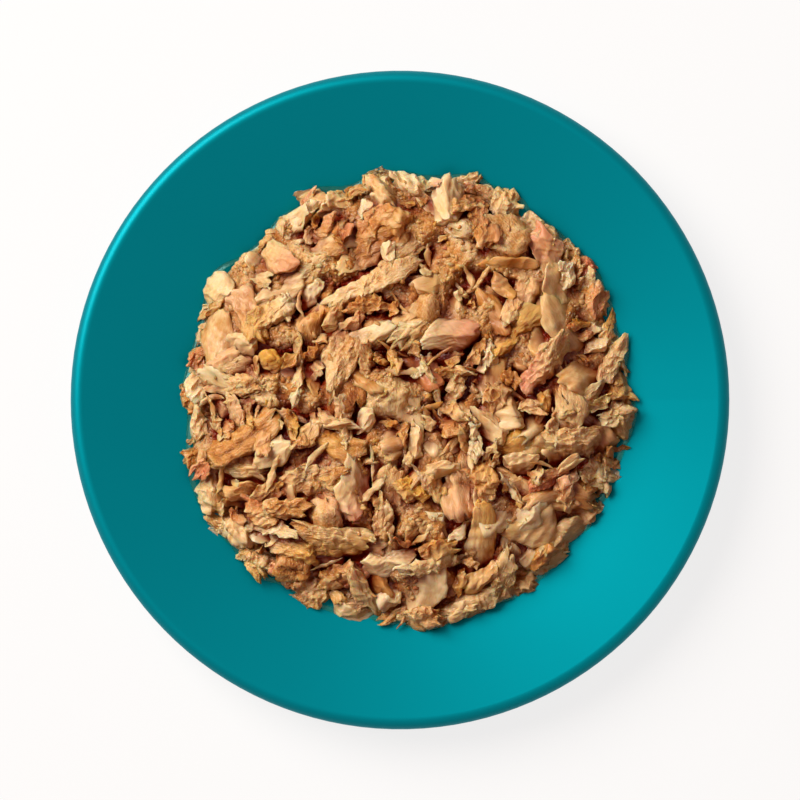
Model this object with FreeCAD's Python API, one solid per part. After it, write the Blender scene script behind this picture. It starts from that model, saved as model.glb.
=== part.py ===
import FreeCAD, Part
import math
import os

# A shallow side plate with a broad sloping rim and a rolled lip, holding one serving of flaked wet cat food
# as a low round heap. Millimetres, +Z up. The origin is the middle of the foot ring, on the surface that
# the plate stands on.

# Plate
plate_radius = 80.0         # to the outside of the lip
well_radius = 46.0          # where the flat floor and the sloping rim would meet if the corner were sharp
well_fillet = 30.0          # radius of the curve that joins them, on the upper side
rim_angle = math.radians(14.0)
wall = 4.0                  # thickness of the floor and of the rim
lip_swell = 0.4             # the lip is a round bead, this much fatter than the wall on each side
lip_neck_fillet = 2.0       # where the bead meets the underside of the rim
foot_setback = 1.3          # flat underside left between the foot ring's root and the rim's curve
foot_width = 4.0
foot_height = 2.5           # from the table up to the underside of the floor
foot_corner = 0.8           # rounds the two lower edges of the foot ring
foot_root = 1.0             # rounds the corners where the foot ring meets the floor

# Heap of flakes
heap_radius = 54.6          # mean radius of the heap's outline
heap_center = (1.2, 0.5)    # the heap was set down slightly off the middle
heap_height = 14.0          # of the dome at its middle, over the floor
heap_flatness = 3.0         # power that keeps the top of the dome flat
heap_shoulder = 0.55        # power that makes its edge steep
outline_waves = (           # lobes round the outline, their depth and their phase in degrees
    (2, 0.45, 250.0),
    (5, 0.70, 12.0),
    (9, 0.65, 40.0),
    (14, 0.60, 75.0),
    (23, 0.45, 20.0),
)
lump_count = 96             # flakes that stand out of the dome
lump_length = 17.0
lump_width = 9.5
lump_height = 2.6
lump_wander = 1.8           # how far a lump lies off the even spiral that spaces them
lump_unevenness = 0.3       # share by which lumps are larger or smaller than the named size
shuffle_x = 3.1             # angles in radians from one lump to the next that shuffle
shuffle_y = 4.3             # their places,
shuffle_size = 2.3          # their sizes
shuffle_turn = 5.7          # and their directions
heap_rings = 25             # rings of facets from the middle of the heap to its outline
fillet_steps = 4            # facets across the curve between floor and rim, under the heap
shortest_facet = 0.2        # least width of the facets between the heap's outline and that curve
sewing_tolerance = 1e-4

golden_angle = math.pi * (3.0 - math.sqrt(5.0))
floor_level = foot_height + wall
fillet_start = well_radius - well_fillet * math.tan(rim_angle / 2)
fillet_end = fillet_start + well_fillet * math.sin(rim_angle)
lip_radius = wall / 2 + lip_swell
foot_outer = fillet_start - foot_setback - foot_root
foot_inner = foot_outer - foot_width


def plate_top(radius):
    """Height of the plate's upper side at this distance from its axis: floor, curve, then sloping rim."""
    if radius <= fillet_start:
        return floor_level
    if radius <= fillet_end:
        return floor_level + well_fillet - math.sqrt(well_fillet ** 2 - (radius - fillet_start) ** 2)
    return floor_level + (radius - well_radius) * math.tan(rim_angle)


def on_circle(center, radius, angle):
    return (center[0] + radius * math.cos(angle), center[1] + radius * math.sin(angle))


class Profile:
    """A half section drawn point by point in radius and height, with straight runs and arcs."""

    def __init__(self, start):
        self.here = start
        self.edges = []

    def line(self, end):
        self.edges.append(Part.LineSegment(self.vector(self.here), self.vector(end)).toShape())
        self.here = end

    def arc(self, center, radius, first, last):
        """An arc from angle first to angle last, turning whichever way last lies."""
        middle = on_circle(center, radius, (first + last) / 2)
        end = on_circle(center, radius, last)
        self.edges.append(Part.Arc(self.vector(self.here), self.vector(middle), self.vector(end)).toShape())
        self.here = end

    def vector(self, point):
        return FreeCAD.Vector(point[0], 0, point[1])

    def revolved(self):
        face = Part.Face(Part.Wire(self.edges))
        return face.revolve(FreeCAD.Vector(0, 0, 0), FreeCAD.Vector(0, 0, 1), 360)


def add_foot(profile):
    """The foot ring, from the floor's underside inside it to the underside outside it."""
    quarter = math.pi / 2
    profile.line((foot_inner - foot_root, foot_height))
    profile.arc((foot_inner - foot_root, foot_height - foot_root), foot_root, quarter, 0.0)
    profile.line((foot_inner, foot_corner))
    profile.arc((foot_inner + foot_corner, foot_corner), foot_corner, 2 * quarter, 3 * quarter)
    profile.line((foot_outer - foot_corner, 0.0))
    profile.arc((foot_outer - foot_corner, foot_corner), foot_corner, 3 * quarter, 4 * quarter)
    profile.line((foot_outer, foot_height - foot_root))
    profile.arc((foot_outer + foot_root, foot_height - foot_root), foot_root, 2 * quarter, quarter)


def add_lip(profile):
    """The rim's underside, the neck under the bead and the bead itself, up to the rim's upper side."""
    along = (math.cos(rim_angle), math.sin(rim_angle))
    normal = (-math.sin(rim_angle), math.cos(rim_angle))
    touch_radius = plate_radius - lip_radius - lip_radius * math.sin(rim_angle)
    center = (plate_radius - lip_radius, plate_top(touch_radius) - lip_radius * math.cos(rim_angle))
    below = wall - lip_radius + lip_neck_fillet
    inward = math.sqrt((lip_radius + lip_neck_fillet) ** 2 - below ** 2)
    neck = (
        center[0] - inward * along[0] - below * normal[0],
        center[1] - inward * along[1] - below * normal[1],
    )
    to_bead = math.atan2(center[1] - neck[1], center[0] - neck[0])
    up = math.pi / 2 + rim_angle
    profile.line(on_circle(neck, lip_neck_fillet, up))
    profile.arc(neck, lip_neck_fillet, up, to_bead)
    profile.arc(center, lip_radius, to_bead - math.pi, up)


def make_plate():
    upper_center = (fillet_start, floor_level + well_fillet)
    down = -math.pi / 2
    profile = Profile((0.0, foot_height))
    add_foot(profile)
    profile.line((fillet_start, foot_height))
    profile.arc(upper_center, well_fillet + wall, down, down + rim_angle)
    add_lip(profile)
    profile.line((fillet_end, plate_top(fillet_end)))
    profile.arc(upper_center, well_fillet, down + rim_angle, down)
    profile.line((0.0, floor_level))
    profile.line((0.0, foot_height))
    return profile.revolved()


def outline(angle):
    """Radius of the heap's outline about its own middle."""
    waves = sum(depth * math.cos(lobes * angle + math.radians(phase)) for lobes, depth, phase in outline_waves)
    return heap_radius + waves


def lumps():
    """Middle, direction and size of each flake that stands out of the dome, on a sunflower spiral."""
    made = []
    for k in range(lump_count):
        angle = k * golden_angle
        reach = heap_radius * math.sqrt((k + 0.5) / lump_count)
        x = reach * math.cos(angle) + lump_wander * math.sin(shuffle_x * k)
        y = reach * math.sin(angle) + lump_wander * math.cos(shuffle_y * k)
        size = 1.0 + lump_unevenness * math.sin(shuffle_size * k)
        made.append((x, y, shuffle_turn * k, size))
    return made


def lump_rise(x, y, flakes):
    """How far the highest flake over this place stands out of the dome."""
    rise = 0.0
    for flake_x, flake_y, turn, size in flakes:
        dx, dy = x - flake_x, y - flake_y
        u = (dx * math.cos(turn) + dy * math.sin(turn)) / (0.5 * lump_length * size)
        v = (dy * math.cos(turn) - dx * math.sin(turn)) / (0.5 * lump_width * size)
        rise = max(rise, lump_height * size * (1.0 - u * u - v * v))
    return rise


def heap_point(ring, step, flakes):
    """A point of the heap's upper side. Ring k has 6 k points, so that the facets stay even."""
    share = ring / heap_rings
    angle = 2 * math.pi * step / max(6 * ring, 1)
    x = share * outline(angle) * math.cos(angle)
    y = share * outline(angle) * math.sin(angle)
    place_x, place_y = x + heap_center[0], y + heap_center[1]
    base = plate_top(math.hypot(place_x, place_y))
    if ring == heap_rings:
        return FreeCAD.Vector(place_x, place_y, base)
    dome = (1.0 - share ** heap_flatness) ** heap_shoulder
    height = (heap_height + lump_rise(x, y, flakes)) * dome
    return FreeCAD.Vector(place_x, place_y, base + height)


def ring_start(ring):
    """Index of a ring's first point in the heap's list of points."""
    return 0 if ring == 0 else 1 + 3 * ring * (ring - 1)


def heap_top():
    """Points and facets of the heap's upper side, facing up."""
    flakes = lumps()
    points = [heap_point(ring, step, flakes) for ring in range(heap_rings + 1) for step in range(max(6 * ring, 1))]
    facets = []
    for ring in range(1, heap_rings + 1):
        outer, inner = ring_start(ring), ring_start(ring - 1)
        inner_count = max(6 * (ring - 1), 1)
        for sixth in range(6):
            for step in range(ring):
                a = outer + sixth * ring + step
                b = outer + (sixth * ring + step + 1) % (6 * ring)
                c = inner + (sixth * (ring - 1) + step) % inner_count
                facets.append((a, b, c))
                if step < ring - 1:
                    d = inner + (sixth * (ring - 1) + step + 1) % inner_count
                    facets.append((b, d, c))
    return points, facets


def heap_underside(points, facets):
    """Closes the heap with facets that lie on the plate, from its outline in to the middle of the floor."""
    count = 6 * heap_rings
    edge = ring_start(heap_rings)
    rim = [points[edge + k] for k in range(count)]
    nearest = min(math.hypot(p.x, p.y) for p in rim)
    stops = [fillet_end + (fillet_start - fillet_end) * k / fillet_steps for k in range(fillet_steps + 1)]
    last = list(range(edge, edge + count))
    for stop in stops:
        if stop >= nearest - shortest_facet:
            continue
        ring = []
        for p in rim:
            reach = math.hypot(p.x, p.y)
            ring.append(len(points))
            points.append(FreeCAD.Vector(p.x * stop / reach, p.y * stop / reach, plate_top(stop)))
        for k in range(count):
            n = (k + 1) % count
            facets.append((last[n], last[k], ring[k]))
            facets.append((last[n], ring[k], ring[n]))
        last = ring
    middle = len(points)
    points.append(FreeCAD.Vector(0, 0, floor_level))
    for k in range(count):
        facets.append((last[(k + 1) % count], last[k], middle))


def make_heap():
    points, facets = heap_top()
    heap_underside(points, facets)
    shell = Part.Shape()
    shell.makeShapeFromMesh((points, facets), sewing_tolerance)
    solid = Part.makeSolid(Part.Shell(shell.Faces))
    if solid.Volume < 0:
        solid.reverse()
    return solid


os.makedirs("parts", exist_ok=True)
for name, shape in (("plate", make_plate()), ("food_heap", make_heap())):
    shape.exportStep("parts/" + name + ".step")
    print(name, shape.ShapeType, "solids", len(shape.Solids), "valid", shape.isValid(), "volume", round(shape.Volume))
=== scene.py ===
import math
import bmesh
import bpy
import numpy as np
from mathutils.bvhtree import BVHTree
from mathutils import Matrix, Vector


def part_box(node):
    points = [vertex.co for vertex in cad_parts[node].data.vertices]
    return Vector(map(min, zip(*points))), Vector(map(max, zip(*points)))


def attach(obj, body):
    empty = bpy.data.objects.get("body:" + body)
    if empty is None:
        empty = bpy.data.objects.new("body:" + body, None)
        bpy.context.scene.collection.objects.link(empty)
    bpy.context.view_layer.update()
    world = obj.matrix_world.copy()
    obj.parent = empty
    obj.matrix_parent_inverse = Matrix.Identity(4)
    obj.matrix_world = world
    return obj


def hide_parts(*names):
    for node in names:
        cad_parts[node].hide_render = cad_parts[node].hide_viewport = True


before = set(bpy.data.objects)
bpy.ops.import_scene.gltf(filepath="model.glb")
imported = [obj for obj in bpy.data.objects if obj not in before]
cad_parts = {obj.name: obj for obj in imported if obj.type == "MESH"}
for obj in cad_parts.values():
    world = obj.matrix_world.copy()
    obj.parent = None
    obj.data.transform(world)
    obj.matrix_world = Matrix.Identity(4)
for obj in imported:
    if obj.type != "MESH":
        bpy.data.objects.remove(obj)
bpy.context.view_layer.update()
print("frame loaded:", list(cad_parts))

# Shapes are worked out in millimetres and turned to metres when a mesh is made.
mm = 0.001


def linear(hexColour):
    channels = [int(hexColour[k:k + 2], 16) / 255 for k in (1, 3, 5)]
    return [c / 12.92 if c <= 0.04045 else ((c + 0.055) / 1.055) ** 2.4 for c in channels] + [1.0]


def addNode(tree, kind, inputs={}, **settings):
    node = tree.nodes.new(kind)
    for name, value in settings.items():
        setattr(node, name, value)
    for name, value in inputs.items():
        if isinstance(value, bpy.types.NodeSocket):
            tree.links.new(value, node.inputs[name])
        else:
            node.inputs[name].default_value = value
    return node


# Height fields: the plate's upper side and the heap's outer shape, read from the frame on an even grid

field = {
    "cell": 0.8,            # mm
    "half": 64.0,           # mm from its middle to its border
    "outside": -10.0,       # the height given where there is nothing
    "rayStart": 0.1,        # m, the height from which rays are cast down
    "thinnest": 0.3,        # mm of food over the plate, less than which counts as none
}
cellCount = int(2 * field["half"] / field["cell"])
cellMiddles = (np.arange(cellCount) + 0.5) * field["cell"] - field["half"]


def readHeights(node):
    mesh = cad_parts[node].data
    tree = BVHTree.FromPolygons([v.co for v in mesh.vertices], [p.vertices for p in mesh.polygons])
    heights = np.full((cellCount, cellCount), field["outside"])
    for i, x in enumerate(cellMiddles):
        for j, y in enumerate(cellMiddles):
            hit = tree.ray_cast((x * mm, y * mm, field["rayStart"]), (0, 0, -1))[0]
            if hit:
                heights[i, j] = hit.z / mm
    return heights


def cellOf(values):
    return np.clip(((values + field["half"]) / field["cell"]).astype(int), 0, cellCount - 1)


def heightAt(heights, x, y):
    # between the middles of four cells
    last = cellCount - 1.001
    u, v = (np.clip((np.asarray(place) + field["half"]) / field["cell"] - 0.5, 0, last) for place in (x, y))
    i, j = u.astype(int), v.astype(int)
    u, v = u - i, v - j
    near = (1 - v) * heights[i, j] + v * heights[i, j + 1]
    far = (1 - v) * heights[i + 1, j] + v * heights[i + 1, j + 1]
    return (1 - u) * near + u * far


def blurred(heights, width):
    # running mean over a square of this width in mm
    reach = max(int(width / field["cell"] / 2), 1)
    for turn in (0, 1):
        total = np.cumsum(np.pad(heights, ((reach + 1, reach), (0, 0)), mode="edge"), axis=0)
        heights = ((total[2 * reach + 1:] - total[:-2 * reach - 1]) / (2 * reach + 1)).T
    return heights


plateTop = readHeights("plate")
heapTop = np.maximum(readHeights("food_heap"), plateTop)
heapLow, heapHigh = (np.array(corner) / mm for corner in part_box("food_heap"))
heapMiddle = (heapLow + heapHigh)[:2] / 2
ceiling = heapHigh[2] - 0.2     # nothing stands higher than this
gridX, gridY = np.meshgrid(cellMiddles, cellMiddles, indexing="ij")
gridTurn = np.arctan2(gridY - heapMiddle[1], gridX - heapMiddle[0])
gridReach = np.hypot(gridX - heapMiddle[0], gridY - heapMiddle[1])

# the heap's outline as a radius for each of 120 directions
outlineSteps = 120
sector = ((gridTurn / (2 * math.pi)) % 1 * outlineSteps).astype(int) % outlineSteps
covered = heapTop > plateTop + field["thinnest"]
outlineRadius = np.array([gridReach[covered & (sector == k)].max() for k in range(outlineSteps)])
outlineRadius = sum(np.roll(outlineRadius, k) for k in (-1, 0, 1)) / 3      # smoothed
toEdge = outlineRadius[sector] - gridReach


def outlineAt(turn):
    stops = np.arange(outlineSteps + 1) * 2 * math.pi / outlineSteps
    return np.interp(turn % (2 * math.pi), stops, np.append(outlineRadius, outlineRadius[0]))


print("heap outline from %.1f to %.1f mm" % (outlineRadius.min(), outlineRadius.max()))

# Pieces of meat. Each is a lump cut by planes, then drawn out, bent, torn and laid on what lies below it.

# planes: how many cut its sides; slab: half thickness of a leaf, 0 for a block, -1 for a bundle along X;
# sharp: how crisp its edges are; groove: depth of its grooves as a share; fray, notch and jag: how far it is
# torn, in mm; warp: how far it is out of shape, as a share of its width; grain: how mealy it is; limp: how far
# it sags
pieceKinds = {
    # thin smooth leaves between two layers of muscle, with crisp edges
    "flake": {"planes": 6, "slab": 0.6, "crest": 0.8, "sharp": 34, "groove": 0.02, "fray": 0.9,
              "warp": 0.035, "notch": 0.18, "jag": 0.08, "grain": 0.1, "limp": 0.3},
    # broken blocks with flat sides
    "chunk": {"planes": 10, "slab": 0.0, "crest": 0.0, "sharp": 20, "groove": 0.08, "fray": 1.2,
              "warp": 0.08, "notch": 0.36, "jag": 0.18, "grain": 0.6, "limp": 0.15},
    # bundles of fibres with frayed ends
    "fibre": {"planes": 6, "slab": -1.0, "crest": 0.0, "sharp": 20, "groove": 0.12, "fray": 2.0,
              "warp": 0.06, "notch": 0.28, "jag": 0.16, "grain": 0.6, "limp": 0.45},
    # rounded soft lumps
    "ball": {"planes": 14, "slab": 0.0, "crest": 0.0, "sharp": 8, "groove": 0.0, "fray": 0.0,
             "warp": 0.05, "notch": 0.2, "jag": 0.05, "grain": 0.3, "limp": 0.0},
}


def sphereTemplate(level, denseAbove=None):
    bm = bmesh.new()
    bmesh.ops.create_icosphere(bm, subdivisions=level, radius=1)
    if denseAbove is not None:
        upper = {edge for face in bm.faces if face.calc_center_median().z > denseAbove for edge in face.edges}
        bmesh.ops.subdivide_edges(bm, edges=list(upper), cuts=1, use_grid_fill=True)
        bmesh.ops.triangulate(bm, faces=bm.faces)
    points = np.array([v.co for v in bm.verts])
    faces = np.array([[v.index for v in face.verts] for face in bm.faces])
    bm.free()
    return points / np.linalg.norm(points, axis=1)[:, None], faces


# lumps that are seen well are twice as fine on their upper side
templates = {"fine": sphereTemplate(4, denseAbove=-0.15), "plain": sphereTemplate(4)}


def ripple(rng, points, wavelength, count=5):
    # smooth random waves, three values for each point
    ways = rng.normal(size=(count, 3))
    ways /= np.linalg.norm(ways, axis=1)[:, None]
    ways *= (2 * math.pi / (wavelength * rng.uniform(0.7, 1.4, count)))[:, None]    # of uneven length
    phases = rng.uniform(0, 2 * math.pi, (count, 3))
    return np.sin((points @ ways.T)[:, :, None] + phases).sum(axis=1) / math.sqrt(count)


# How the planes lie that cut a lump. Tilts are spreads of their normals, and reaches are shares of its half
# size.
cuts = {
    "spacing": 0.35,            # how far a side lies off the even spacing
    "leafLean": 0.35, "leafCrest": (0.3, 1.5), "leafTilt": 0.12, "leafReach": (0.72, 1.0),
    "bundleLean": 0.12, "bundleTilt": 0.4, "bundleReach": (0.6, 0.85), "bundleEnds": 0.95,
    "blockTilt": 0.3, "blockReach": (0.7, 1.0),
}


def cuttingPlanes(rng, kind):
    count = kind["planes"]
    spread = (np.arange(count) + rng.uniform(-cuts["spacing"], cuts["spacing"], count)) * 2 * math.pi / count
    lean = rng.normal(0, cuts["leafLean"], count)
    if kind["slab"] > 0:
        # an outline of leaning sides between two flat faces, the upper one perhaps with a crest along it
        sides = np.stack([np.cos(spread), np.sin(spread), lean], 1)
        crest = kind["crest"] * rng.uniform(*cuts["leafCrest"])
        caps = np.array([[0, crest, 1], [0, -crest, 1], [0, 0, -1]]) + rng.normal(0, cuts["leafTilt"], (3, 3))
        reach = np.concatenate([rng.uniform(*cuts["leafReach"], count), np.full(3, kind["slab"])])
    elif kind["slab"] < 0:
        # long sides round the X axis and cut ends, one of them cut twice
        sides = np.stack([rng.normal(0, cuts["bundleLean"], count), np.cos(spread), np.sin(spread)], 1)
        caps = np.array([[1, 0, 0], [-1, 0, 0], [0.8, 0, 0]]) + rng.normal(0, cuts["bundleTilt"], (3, 3))
        reach = np.concatenate([rng.uniform(*cuts["bundleReach"], count), np.full(3, cuts["bundleEnds"])])
    else:
        sides = rng.normal(size=(count, 3))
        caps = np.array([[0, 0, 1], [0, 0, -1], [1, 0, 0], [-1, 0, 0]])
        caps = caps + rng.normal(0, cuts["blockTilt"], (4, 3))
        reach = rng.uniform(*cuts["blockReach"], count + 4)
    normals = np.vstack([sides, caps])
    return normals / np.linalg.norm(normals, axis=1)[:, None], reach


# How a cut lump is torn
tears = {
    "taper": 0.35,              # share by which one end may be narrower than its middle
    "grooveWidth": 4.5,         # mm from one groove, notch or tear to the next
    "frayWidth": 1.9,
    "notchWidth": 2.8,
    "jagWidth": 1.3,
    "warpWidth": 2.2,           # in half widths of the piece
    "fray": (-1.3, 1.1),        # how far ends are torn inwards and outwards, in the kind's frays
    "twist": 0.25,              # radians
    "rest": 300.0,              # mm, so that no two pieces have the same pattern
}


def shapePiece(rng, kind, size, template, bend, curl):
    directions, faces = templates[template]
    half = np.array(size) / 2
    normals, reach = cuttingPlanes(rng, kind)
    near = np.maximum(directions @ normals.T, 0.3) / reach      # no plane far behind a point counts
    points = directions * (near ** kind["sharp"]).sum(axis=1)[:, None] ** (-1 / kind["sharp"])
    points *= half / np.abs(points).max(axis=0)
    along = points[:, :1] / half[0]
    points[:, 1:] *= 1 - rng.uniform(-tears["taper"], tears["taper"]) * along
    # narrow grooves along it between bundles of fibres, and ends torn off unevenly
    grooves = np.exp(-12 * ripple(rng, points * (0.07, 1, 1), tears["grooveWidth"])[:, :1] ** 2)
    points[:, 1:] *= 1 - kind["groove"] * grooves
    ends = np.clip(2.2 * np.abs(along[:, 0]) - 1.2, 0, 1)       # 0 over the middle half
    torn = np.clip(ripple(rng, points * (0, 1, 1), tears["frayWidth"])[:, 0], *tears["fray"])
    points[:, 0] += np.sign(along[:, 0]) * ends * kind["fray"] * torn
    points += kind["warp"] * half[1] * 2 * ripple(rng, points, tears["warpWidth"] * half[1])
    notches, jags = ripple(rng, points, tears["notchWidth"]), ripple(rng, points, tears["jagWidth"])
    points += kind["notch"] * notches + kind["jag"] * jags
    rest = points + rng.uniform(-tears["rest"], tears["rest"], 3)
    twist = rng.normal(0, tears["twist"]) * along[:, 0]
    y, z = points[:, 1].copy(), points[:, 2].copy()
    points[:, 1] = y * np.cos(twist) - z * np.sin(twist) + bend * along[:, 0] ** 2
    points[:, 2] = y * np.sin(twist) + z * np.cos(twist) + curl * along[:, 0] ** 2
    return points, faces, rest


# Torn threads
strand = {
    "ring": 0.55, "swellWidth": 4, "roughWidth": 2.0, "bend": 0.7,      # mm
    "flat": 0.32, "rough": 0.14, "sideways": 0.25, "upwards": 0.2,      # shares of a thread's width
    "swell": 0.18,          # share by which its girth swings
    "grain": 0.3, "limp": 0.6,
}


def shapeStrand(rng, length, width, bend, turns=8):
    # a tapering thread, closed at both ends
    rings = max(int(length / strand["ring"]), 8)
    along = np.linspace(-1, 1, rings)
    swell = ripple(rng, along[:, None] * (length / 2, 0, 0), strand["swellWidth"])[:, 0]
    girth = (1 - np.abs(along) ** 1.8) ** 0.8 * (1 + strand["swell"] * swell)
    angle = np.arange(turns) / turns * 2 * math.pi
    body = np.stack([
        np.repeat(along * length / 2, turns),
        (girth[:, None] * np.cos(angle) * width / 2).ravel(),
        (girth[:, None] * np.sin(angle) * width * strand["flat"]).ravel(),
    ], 1)
    body = body[turns:-turns]
    points = np.vstack([body, [[-length / 2, 0, 0], [length / 2, 0, 0]]])
    count = rings - 2
    faces = []
    for k in range(turns):
        n = (k + 1) % turns
        for ring in range(count - 1):
            a, b = ring * turns + k, ring * turns + n
            faces += [(a, b, b + turns), (a, b + turns, a + turns)]
        last = (count - 1) * turns
        faces += [(n, k, count * turns), (last + k, last + n, count * turns + 1)]
    rest = points + rng.uniform(-tears["rest"], tears["rest"], 3)
    share = points[:, 0] / (length / 2)
    points += strand["rough"] * width * ripple(rng, points, strand["roughWidth"])
    sideways = ripple(rng, points * (1, 0, 0), 0.8 * length)[:, 1]
    points[:, 1] += bend * share ** 2 + strand["sideways"] * width * sideways
    points[:, 2] += strand["upwards"] * width * ripple(rng, points * (1, 0, 0), 0.7 * length)[:, 2]
    return points, np.array(faces), rest


def turned(points, axis, angle):
    a, b = [(1, 2), (2, 0), (0, 1)][axis]
    out = points.copy()
    out[:, a] = points[:, a] * math.cos(angle) - points[:, b] * math.sin(angle)
    out[:, b] = points[:, a] * math.sin(angle) + points[:, b] * math.cos(angle)
    return out


heap = {}       # mesh data of the pieces, by the name of the object they go to

laying = {
    "overhang": 1.5,        # mm that a piece may stand out of the heap's outline
    "drawnIn": 0.5,         # share that is left of what stands out farther
    "follow": 6.0,          # mm over which a piece follows what lies below it, at the most
    "feel": 0.6,            # share of its reach where the slope below it is taken
    "steepest": 0.5,
    "sag": 4.0,             # mm, at the most
    "proud": 1.2,           # mm that it may stand out of the heap's outer shape
    "pressed": 3.0,         # mm by which it is pressed down where it stands out more, at the most
    "gap": 0.03,            # mm from the plate
}


def layPiece(target, shaped, place, yaw, tilt, limp, sink, look):
    points, faces, rest = shaped
    points = turned(turned(points, 0, tilt[0]), 1, tilt[1])
    points = turned(points, 2, math.radians(yaw))
    spread = float(np.abs(points[:, :2]).max())
    points[:, :2] += place
    # what would stand out of the heap's outline is drawn in
    away = points[:, :2] - heapMiddle
    reach = np.hypot(away[:, 0], away[:, 1])
    edge = outlineAt(np.arctan2(away[:, 1], away[:, 0])) + laying["overhang"]
    drawn = np.where(reach > edge, edge + laying["drawnIn"] * (reach - edge), reach)
    points[:, :2] = heapMiddle + away * (drawn / np.maximum(reach, 0.1))[:, None]
    # follow the slope of what lies below, and sag onto it as far as the piece is limp
    soft = blurred(ground, min(spread, laying["follow"]))
    x, y = points[:, 0], points[:, 1]
    step = laying["feel"] * spread
    ahead, behind = heightAt(soft, place[0] + step, place[1]), heightAt(soft, place[0] - step, place[1])
    left, right = heightAt(soft, place[0], place[1] + step), heightAt(soft, place[0], place[1] - step)
    slope = np.array([ahead - behind, left - right]) / (2 * step)
    slope = np.clip(slope, -laying["steepest"], laying["steepest"])
    plane = slope[0] * (x - place[0]) + slope[1] * (y - place[1])
    sag = np.clip(heightAt(soft, x, y) - heightAt(soft, *place), -laying["sag"], laying["sag"])
    points[:, 2] += (1 - limp) * plane + limp * sag
    # the share of its points called sink ends up below what it lies on
    points[:, 2] += np.percentile(heightAt(ground, x, y) - points[:, 2], 100 * (1 - sink))
    # pressed down where a tenth of its points would stand far out of the heap's outer shape
    proud = np.percentile(points[:, 2] - heightAt(heapTop, x, y), 90) - laying["proud"]
    points[:, 2] -= np.clip(proud, 0, laying["pressed"])
    points[:, 2] -= max(points[:, 2].max() - ceiling, 0)
    points[:, 2] = np.maximum(points[:, 2], heightAt(plateTop, x, y) + laying["gap"])
    np.maximum.at(ground, (cellOf(x), cellOf(y)), points[:, 2])
    store = heap.setdefault(target, {"points": [], "faces": [], "rest": [], "look": [], "count": 0})
    store["points"].append(points)
    store["faces"].append(faces + store["count"])
    store["rest"].append(rest)
    store["look"].append(look)
    store["count"] += len(points)


def ridges(points, faces):
    # how sharply each point stands out, from -1 in a groove to 1 on an edge
    a, b, c = (points[faces[:, k]] for k in range(3))
    normals, around, shared = np.zeros_like(points), np.zeros_like(points), np.zeros(len(points))
    for k in range(3):
        np.add.at(normals, faces[:, k], np.cross(b - a, c - a))
        np.add.at(around, faces[:, k], points[faces[:, (k + 1) % 3]])
        np.add.at(shared, faces[:, k], 1)
    outward = points - around / shared[:, None]
    length = np.linalg.norm(b - a, axis=1).mean()
    normals /= np.linalg.norm(normals, axis=1)[:, None] + 1e-12
    return np.clip((outward * normals).sum(axis=1) / (0.25 * length), -1, 1)


# How the look changes over a piece: how much paler its edges and darker its grooves are, a painted highlight
# and painted shade, how much darker its crumbled side is, how mealy its whole side is and how much more so the
# crumbled one, and how blush and fat run along it
fading = {"edges": 0.1, "crumbled": 0.22, "whole": 0.4, "broken": 1.0, "middle": 0.55, "ends": 0.9}


def lookOf(rng, shaped, tone, blush, fat, grain):
    # tone, blush, fat and grain for each point
    points, faces, rest = shaped
    middle = rest - rest.mean(axis=0)
    way = rng.normal(size=3)
    side = middle @ way / (np.abs(middle @ way).max() + 1e-6)
    other = -side if rng.random() < 0.5 else side
    across = middle @ rng.normal(size=3)
    crumbled = np.clip(0.5 + 1.1 * across / (np.abs(across).max() + 1e-6), 0, 1)
    darker = fading["crumbled"] * grain * (crumbled - fading["whole"])
    return np.stack([
        # painted highlight on edges and painted shade in grooves, from how far each point stands out
        tone + fading["edges"] * ridges(points, faces) - darker,
        blush * np.clip(fading["middle"] + fading["ends"] * side, 0, 1),
        fat * np.clip(fading["middle"] + fading["ends"] * other, 0, 1),
        grain * (fading["whole"] + fading["broken"] * crumbled),
    ], 1)


# The core: the soft crumbled meat that the pieces lie in, low and dark in some places and high in others

core = {
    "depth": 8.0,           # mm from the heap's outer shape down to the floor that the first pieces lie on
    "setBack": 1.8,         # mm inside its outline
    "rings": 140,
    "steps": 600,
    "lowShares": (0.94, 0.88, 0.82, 0.76, 0.7, 0.4),     # rings of its underside, as shares of its radius
    "swells": ((15.0, 2.2), (6.0, 1.0), (3.2, 0.4)),     # widths and heights in mm of its ups and downs
    "smooth": 4.0,          # mm over which it evens out what lies below it
    "lift": -0.2,           # mean level over the lower pieces
    "cover": 1.4,           # least depth below the heap's outer shape
    "thinnest": 0.4,
    "gap": 0.03,            # mm from the plate
    "tone": (0.5, 0.13),    # mean and swing
    "patch": 14.0,          # mm from one dark patch to the next
    "grainDepth": 0.9,
    "grainSize": 1.2,
}


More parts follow.
